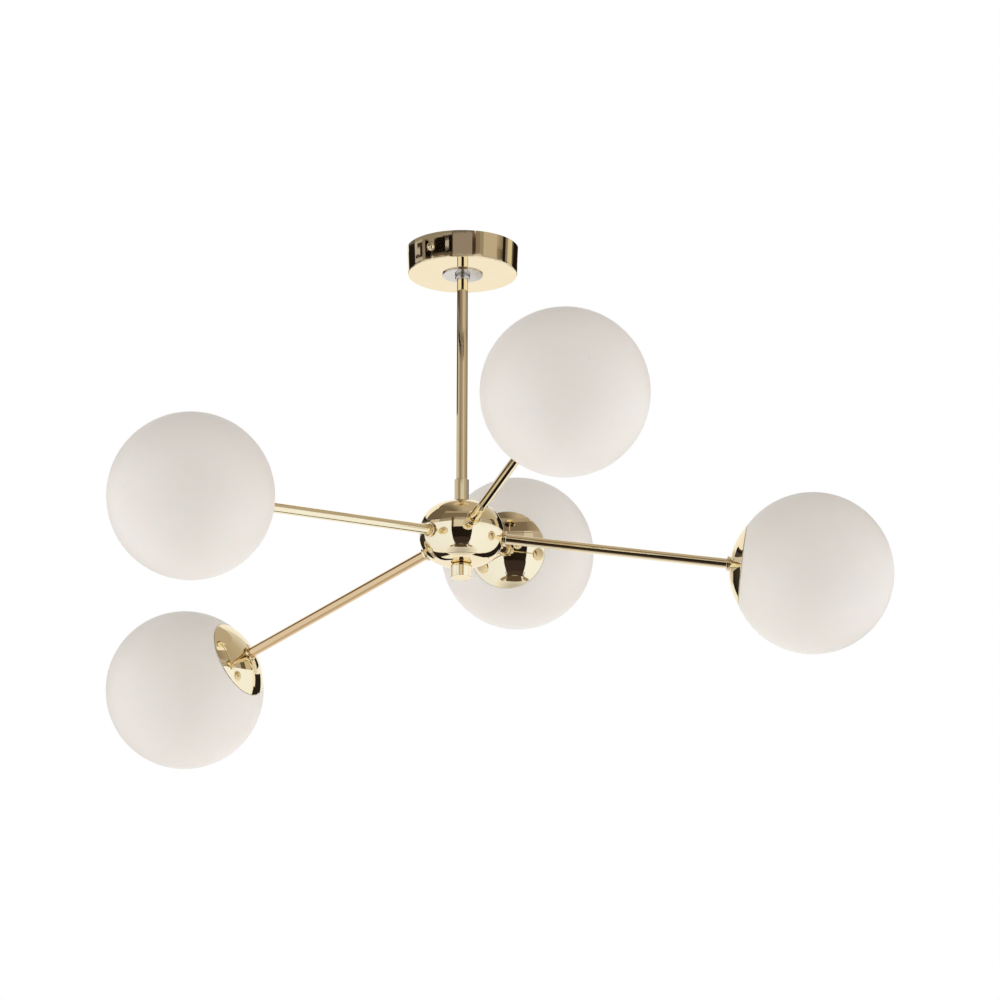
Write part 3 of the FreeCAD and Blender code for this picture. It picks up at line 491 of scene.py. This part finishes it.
def wall(name, start, end, low, high, colours, strength=1.0, foot=CIRCLE, top=CIRCLE, bend=0.0):
    """A curved panel that glows, seen by reflections alone. Its lower and upper edges have their
    own radius, and a bend lifts it towards the back."""
    colours = [linear(colour) for colour in colours.split()]
    steps = max(2, int((end - start) / PANEL_STEP))
    vertices, glows = [], []
    for i in range(steps + 1):
        azimuth = start + (end - start) * i / steps
        angle = math.radians(azimuth)
        lift = bend * (azimuth / FARTHEST_BACK) ** 2
        for radius, height in ((foot, low), (top, high)):
            vertices.append((radius * math.sin(angle), -radius * math.cos(angle), height + lift))
            glows += [strength * (first + (last - first) * i / steps)
                      for first, last in zip(colours[0], colours[-1])]
    faces = [(2 * i, 2 * i + 2, 2 * i + 3, 2 * i + 1) for i in range(steps)]
    mesh = bpy.data.meshes.new("studio_" + name)
    mesh.from_pydata(vertices, [], faces)
    mesh.color_attributes.new("glow", "FLOAT_COLOR", "POINT").data.foreach_set("color", glows)
    mesh.materials.append(panel_glow)
    panel = bpy.data.objects.new("studio_" + name, mesh)
    bpy.context.scene.collection.objects.link(panel)
    for_reflections(panel)


# below: two softboxes with a dark gap between them at the camera, and dark gaps behind
wall("left_softbox", -118, -26, -2.18, 0.07, "#D9E1F4 #DFE9FF", 1.35)
wall("right_softbox", 29, 126, -2.18, 0.06, "#DFE9FF #DCE4F4", 1.4)
wall("gap", -26, 29, -1.0, -0.17, "#1E1816 #241C18")
wall("gap_low", -28, 32, -1.8, -1.0, "#3A3030")
wall("gap_foot", -32, 37, -2.38, -1.8, "#463A32")
wall("floor_edge_left", -62, -32, -2.39, -2.3, "#9A8E7C", foot=0.9)
wall("floor_edge_right", 37, 62, -2.39, -2.3, "#9A8E7C", foot=0.9)
wall("card", -20, 20, -0.17, 0.12, "#DCDAD8")
wall("card_edge", -26, -20, -0.17, 0.36, "#4E4238 #6A5C50")
wall("card_top", -20, 22, 0.12, 0.36, "#A99F98 #B8B0AC")
wall("left_rear_low", -151, -127, -2.2, -0.95, "#2C2A24")
wall("left_rear_sill", -178, -151, -1.2, -0.94, "#14100E")
wall("left_rear_mid", -151, -129, -0.95, -0.7, "#B4AEA8")
wall("left_rear_side", -129, -118, -0.95, -0.7, "#6E6862")
wall("left_rear_high", -157, -116, -0.7, -0.03, "#1E1A18 #423E38")
wall("left_rear_strip", -151, -95, -0.03, 0.2, "#C9C7C8 #E0DAD6")
wall("right_rear_low", 130, 152, -2.2, -0.27, "#241E1A")
wall("right_rear_high", 135, 162, -0.27, -0.02, "#2A2420")

# at the height of the stem: broken bands of light
wall("stem_left", -95, -62, 0.07, 0.29, "#C9C4BE #D8D4D2")
wall("stem_left_front", -62, -26, 0.07, 0.29, "#A49C96 #A89E96")
wall("stem_left_rear", -151, -95, 0.2, 0.36, "#4A4444")
wall("stem_left_high", -95, -60, 0.29, 0.36, "#5A4A40")
wall("stem_front_high", -60, -26, 0.29, 0.36, "#857C74 #8F857C")
wall("stem_right_light", 22, 42, 0.06, 0.36, "#DAD5D6")
wall("stem_right_shade", 42, 92, 0.06, 0.36, "#BDB6B2 #B4AEAC")
wall("stem_right_brown", 92, 106, 0.06, 0.36, "#6A5C4C")
wall("stem_right_tan", 106, 124, 0.06, 0.36, "#CFC4AE")
wall("stem_right_rear", 124, 165, 0.06, 0.36, "#1F1B19")

# in front of those, what the canopy's wall mirrors: black at the left, then a grey card, a post
# and paler bands. Their heights are those on the wall that show them, in millimetres from the
# ceiling, because the wall leans and mirrors a band that rises towards the back.
BAND_LEVEL = 0.2852
BAND_RISE = 0.084
BAND_CIRCLE = 1.09
PATCH_CIRCLE = 1.088
for name, start, end, low, high, colours in (
        ("rear_left", -148, -115, -60, 30, "#211A18"), ("patch", -115, -90, -27, -4, "#BCBABF"),
        ("patch_high", -106, -90, -12.5, -8, "#34281F"), ("patch_low", -113, -90, -21, -17.5, "#34281F"),
        ("patch_edge", -97, -90, -20, -8, "#2E241C"), ("post_left", -90, -82, -27, -4, "#8C847E"),
        ("black", -82, -21.5, -22, -7, "#0E0A08"), ("under_black", -82, -58, -27, -22, "#3A322C"),
        ("under_black_front", -58, -19.5, -27, -22, "#5A5046"),
        ("over_black", -82, -21.5, -7, -4, "#948B84 #B4ABA6"),
        ("glint", -35, -27.5, -18, -13, "#C4C2CC"), ("edge", -21.5, -19.5, -22, -4, "#3A322A"),
        ("taupe", -19.5, 19.5, -27, -4, "#968E8F"), ("top_left", -148, -22, -4, 4, "#9A9690 #8C8884"),
        ("top", -22, 24, -4, 4, "#6C6966"),
        ("post", 19.5, 26.5, -11, -4, "#6E6258"), ("post_low", 19.5, 27, -27, -11, "#43362E"),
        ("tan", 26.5, 35, -27, 4, "#8C8078"), ("buff", 35, 43, -27, 4, "#9D958A"),
        ("pale", 43, 74, -27, 4, "#C4BCB4"), ("fading", 74, 90, -14, 4, "#B8AEA2 #8A8074"),
        ("fading_low", 74, 90, -27, -14, "#9E9284 #5A5044"), ("dark", 90, 98.5, -40, 30, "#1F1B19"),
        ("brown", 98.5, 105.5, -27, 4, "#938880"), ("ivory", 105.5, 122, -27, 4, "#DAD3BF"),
        ("fade_right", 122, 128, -27, 4, "#6E6054"), ("rear_right", 128, 162, -60, 30, "#1F1A17")):
    is_patch = name in ("glint", "patch_high", "patch_low", "patch_edge")
    circle = PATCH_CIRCLE if is_patch else BAND_CIRCLE
    wall("canopy_" + name, start, end, BAND_LEVEL + low / 1000, BAND_LEVEL + high / 1000, colours,
         foot=circle, top=circle, bend=BAND_RISE)

# above: brown at the left and in front, and paler higher up, at the right and behind
wall("upper_left", -120, -60, 0.36, 1.3, "#6E6459 #74695E")
wall("upper_front", -60, 30, 0.36, 0.95, "#7A7066 #82756C")
wall("upper_front_high", -60, 42, 0.95, 1.3, "#A99F94 #B0A69B")
wall("upper_right_front", 30, 70, 0.36, 0.95, "#8A7E72 #BDB3A8")
wall("upper_right", 70, 118, 0.36, 1.3, "#B8AEA2 #C4BCB0")
wall("upper_right_rear", 118, 162, 0.36, 1.3, "#C8C2BC #E4E2E0")


# Ceiling of the studio: a disc over the walls, brown at the left and paler at the right and
# behind, seen by reflections alone.
def disc(name, radius, height, material):
    """A level disc of the studio."""
    ring = [(radius * math.cos(math.radians(a)), radius * math.sin(math.radians(a)), 0)
            for a in range(0, 360, 5)]
    mesh = bpy.data.meshes.new(name)
    mesh.from_pydata(ring, [], [range(len(ring))])
    mesh.materials.append(material)
    plate = bpy.data.objects.new(name, mesh)
    plate.location.z = height
    bpy.context.scene.collection.objects.link(plate)
    return plate


brown_paper, tree, output = new_material("studio_brown_paper")
place = add(tree, "TexCoord").outputs["Object"]
across = add(tree, "VectorMath", {"operation": "DOT_PRODUCT", 1: (1.0, 0.2, 0.0)}, {0: place})
shade = add(tree, "MapRange", {"From Min": -0.6, "From Max": 0.0}, {"Value": across.outputs["Value"]})
tone = add(tree, "ValToRGB", links={"Fac": shade.outputs["Result"]})
tone.color_ramp.elements[0].color = linear("#766C60")
tone.color_ramp.elements[1].color = linear("#BFB5AA")
glow = add(tree, "Emission", links={"Color": tone.outputs["Color"]})
tree.links.new(glow.outputs["Emission"], output.inputs["Surface"])
for_reflections(disc("studio_ceiling", CIRCLE, 1.3, brown_paper))

# Floor of the studio: pale paper far below the light, brighter in reflections but duller right
# under the light, with a dark sheet on it towards the camera. The light from below comes from the
# world, so the floor is hidden from diffuse light.
FLOOR = -2.4
SHEET_LEFT, SHEET_RIGHT = -0.56, 0.5
SHEET_NEAR, SHEET_FAR = -1.08, -0.52
SHEET_OVER_FLOOR = 0.005
pale_floor, tree, output = new_material("studio_pale_floor")
paths = add(tree, "LightPath")
paint = add(tree, "BsdfDiffuse", {"Color": linear("#E8E6E2")})
seen = add(tree, "Emission", {"Color": linear("#F4F3F0")})
place = add(tree, "TexCoord").outputs["Object"]
reach = add(tree, "VectorMath", {"operation": "LENGTH"}, {0: place})
fade = add(tree, "MapRange", {"From Min": 0.25, "From Max": 1.2, "To Min": 0.7, "To Max": 1.25},
           {"Value": reach.outputs["Value"]})
mirrored = add(tree, "Emission", {"Color": linear("#E8EAF2")}, {"Strength": fade.outputs["Result"]})
by_eye = add(tree, "MixShader", {0: 0.8}, {1: paint.outputs["BSDF"], 2: seen.outputs["Emission"]})
by_ray = add(tree, "MixShader", links={0: paths.outputs["Is Glossy Ray"], 1: by_eye.outputs["Shader"],
                                       2: mirrored.outputs["Emission"]})
tree.links.new(by_ray.outputs["Shader"], output.inputs["Surface"])
floor = disc("studio_floor", 6.0, FLOOR, pale_floor)
floor.visible_diffuse = False
floor.visible_shadow = False
dark_paper, tree, output = new_material("studio_dark_paper")
glow = add(tree, "Emission", {"Color": linear("#57493C")})
tree.links.new(glow.outputs["Emission"], output.inputs["Surface"])
mesh = bpy.data.meshes.new("studio_sheet")
corners = [(SHEET_LEFT, SHEET_NEAR), (SHEET_RIGHT, SHEET_NEAR), (SHEET_RIGHT, SHEET_FAR),
           (SHEET_LEFT, SHEET_FAR)]
mesh.from_pydata([(x, y, FLOOR + SHEET_OVER_FLOOR) for x, y in corners], [], [(0, 1, 2, 3)])
mesh.materials.append(dark_paper)
sheet = bpy.data.objects.new("studio_sheet", mesh)
bpy.context.scene.collection.objects.link(sheet)
for_reflections(sheet)

# World: white where the camera and reflections look past the walls. The light on the object is
# strongest from both sides and from below, and softest from behind and above. Each share is what
# a direction adds to the level in the middle.
MIDDLE_LEVEL = 0.735
SIDE_SHARES = (0.6, 0.0, -0.15)
BELOW_SHARES = (0.0, 0.01, -0.30)
SLANT_SHARE = -0.62
world = bpy.data.worlds.new("studio_world")
world.use_nodes = True
bpy.context.scene.world = world
tree = world.node_tree
tree.nodes.clear()
way = add(tree, "TexCoord").outputs["Generated"]
square = add(tree, "VectorMath", {"operation": "MULTIPLY"}, {0: way, 1: way})
sides = add(tree, "VectorMath", {"operation": "DOT_PRODUCT", 1: SIDE_SHARES},
            {0: square.outputs["Vector"]})
below = add(tree, "VectorMath", {"operation": "DOT_PRODUCT", 1: BELOW_SHARES}, {0: way})
parts = add(tree, "SeparateXYZ", links={"Vector": way})
slant = add(tree, "Math", {"operation": "MULTIPLY"}, {0: parts.outputs["Y"], 1: parts.outputs["Z"]})
level = add(tree, "Math", {"operation": "ADD"}, {0: sides.outputs["Value"], 1: below.outputs["Value"]})
level = add(tree, "Math", {"operation": "MULTIPLY_ADD", 1: SLANT_SHARE},
            {0: slant.outputs[0], 2: level.outputs[0]})
level = add(tree, "Math", {"operation": "ADD", 1: MIDDLE_LEVEL}, {0: level.outputs[0]})
soft = add(tree, "Background", {"Color": linear("#FFFEFD")}, {"Strength": level.outputs[0]})
white = add(tree, "Background", {"Color": linear("#FFFFFF")})
paths = add(tree, "LightPath")
seen = add(tree, "Math", {"operation": "MAXIMUM"},
           {0: paths.outputs["Is Camera Ray"], 1: paths.outputs["Is Glossy Ray"]})
seen = add(tree, "Math", {"operation": "MAXIMUM"},
           {0: seen.outputs[0], 1: paths.outputs["Is Transmission Ray"]})
both = add(tree, "MixShader", links={0: seen.outputs[0], 1: soft.outputs["Background"],
                                     2: white.outputs["Background"]})
add(tree, "OutputWorld", links={"Surface": both.outputs["Shader"]})

# Camera: low in front, looking up at the light through a long lens, as in the photograph.
CAMERA_PLACE = (0.03468, -4.7854, -1.7299)
CAMERA_RISE = 17.29
CAMERA_ROLL = 0.14
bpy.context.scene.view_settings.view_transform = "Standard"
lens = bpy.data.cameras.new("camera")
lens.lens = 200
lens.sensor_width = 36
camera = bpy.data.objects.new("camera", lens)
bpy.context.scene.collection.objects.link(camera)
camera.matrix_world = (Matrix.Translation(CAMERA_PLACE)
                       @ Matrix.Rotation(math.radians(90 + CAMERA_RISE), 4, "X")
                       @ Matrix.Rotation(math.radians(CAMERA_ROLL), 4, "Z"))
bpy.context.scene.camera = camera
